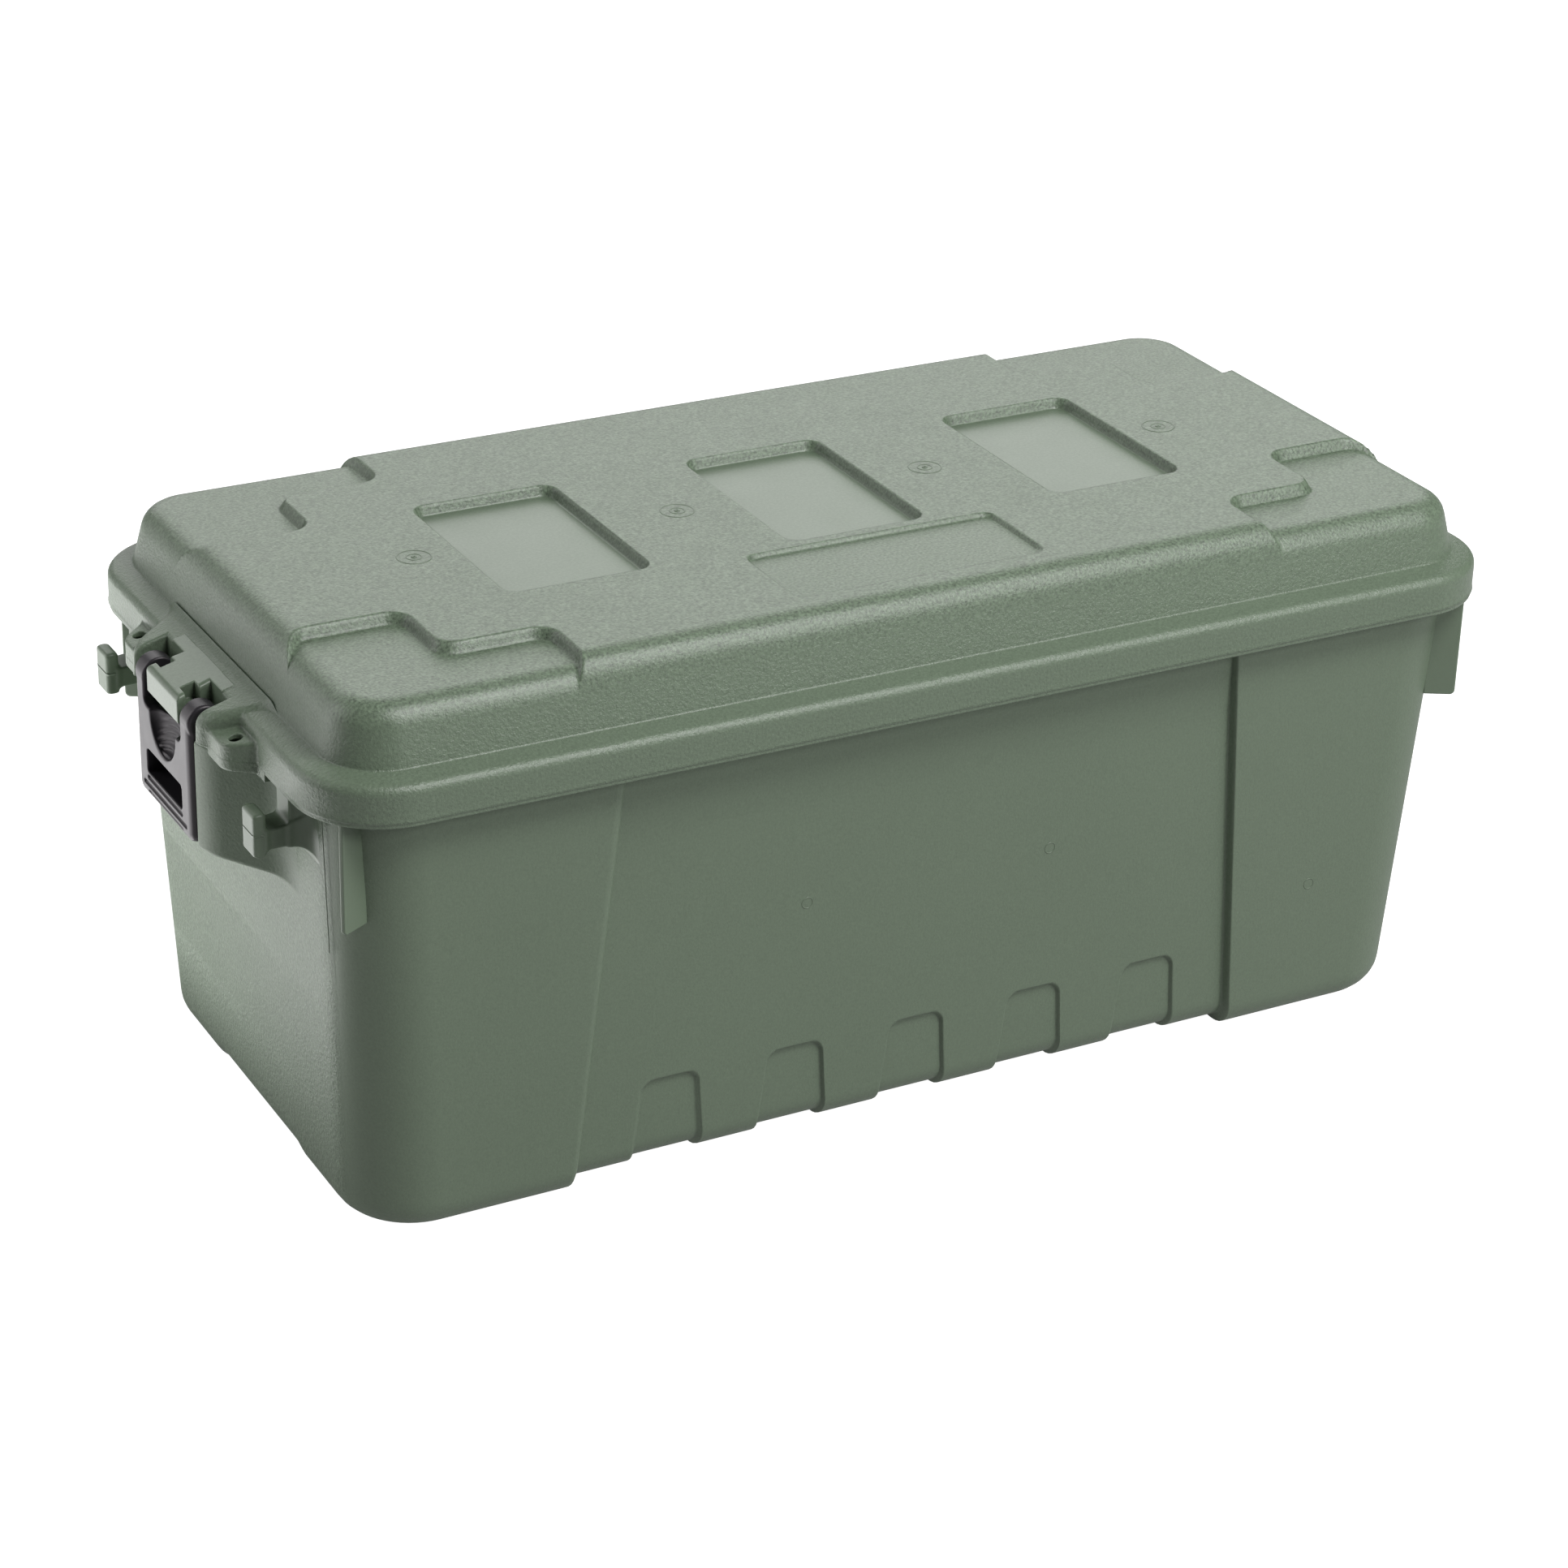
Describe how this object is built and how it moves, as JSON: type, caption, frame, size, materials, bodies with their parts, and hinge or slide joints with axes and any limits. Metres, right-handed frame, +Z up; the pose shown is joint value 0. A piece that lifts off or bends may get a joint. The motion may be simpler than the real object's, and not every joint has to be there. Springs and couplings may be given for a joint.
{
  "type": "footlocker",
  "caption": "Long moulded plastic footlocker with a lift-off stepped lid, recessed lid windows, end snap latches, tie-down cleats and padlock ears.",
  "frame": {"origin": "middle of the base, on the plane of the feet", "axes": "+X along the length, +Y away from the long side that carries the blank badge recess, +Z up"},
  "size_m": [0.772, 0.3648, 0.324],
  "materials": {
    "green_shell": "fine moulded grain, grey green",
    "black_latch": "satin black moulding"
  },
  "bodies": {
    "tub_body": {"tub": "green_shell"},
    "lid_body": {"lid": "green_shell"},
    "latch_left_body": {"latch_left": "black_latch"},
    "latch_right_body": {"latch_right": "black_latch"}
  },
  "joints": [
    {"name": "lid_lift", "type": "slide", "parent": "tub_body", "child": "lid_body", "axis": [0, 0, 1], "range_m": [0, 0.3]},
    {"name": "latch_left_swing", "type": "hinge", "parent": "lid_body", "child": "latch_left_body", "pos_m": [-0.3758, 0, 0.2687], "axis": [0, 1, 0], "range_deg": [0, 120]},
    {"name": "latch_right_swing", "type": "hinge", "parent": "lid_body", "child": "latch_right_body", "pos_m": [0.3758, 0, 0.2687], "axis": [0, -1, 0], "range_deg": [0, 120]}
  ]
}
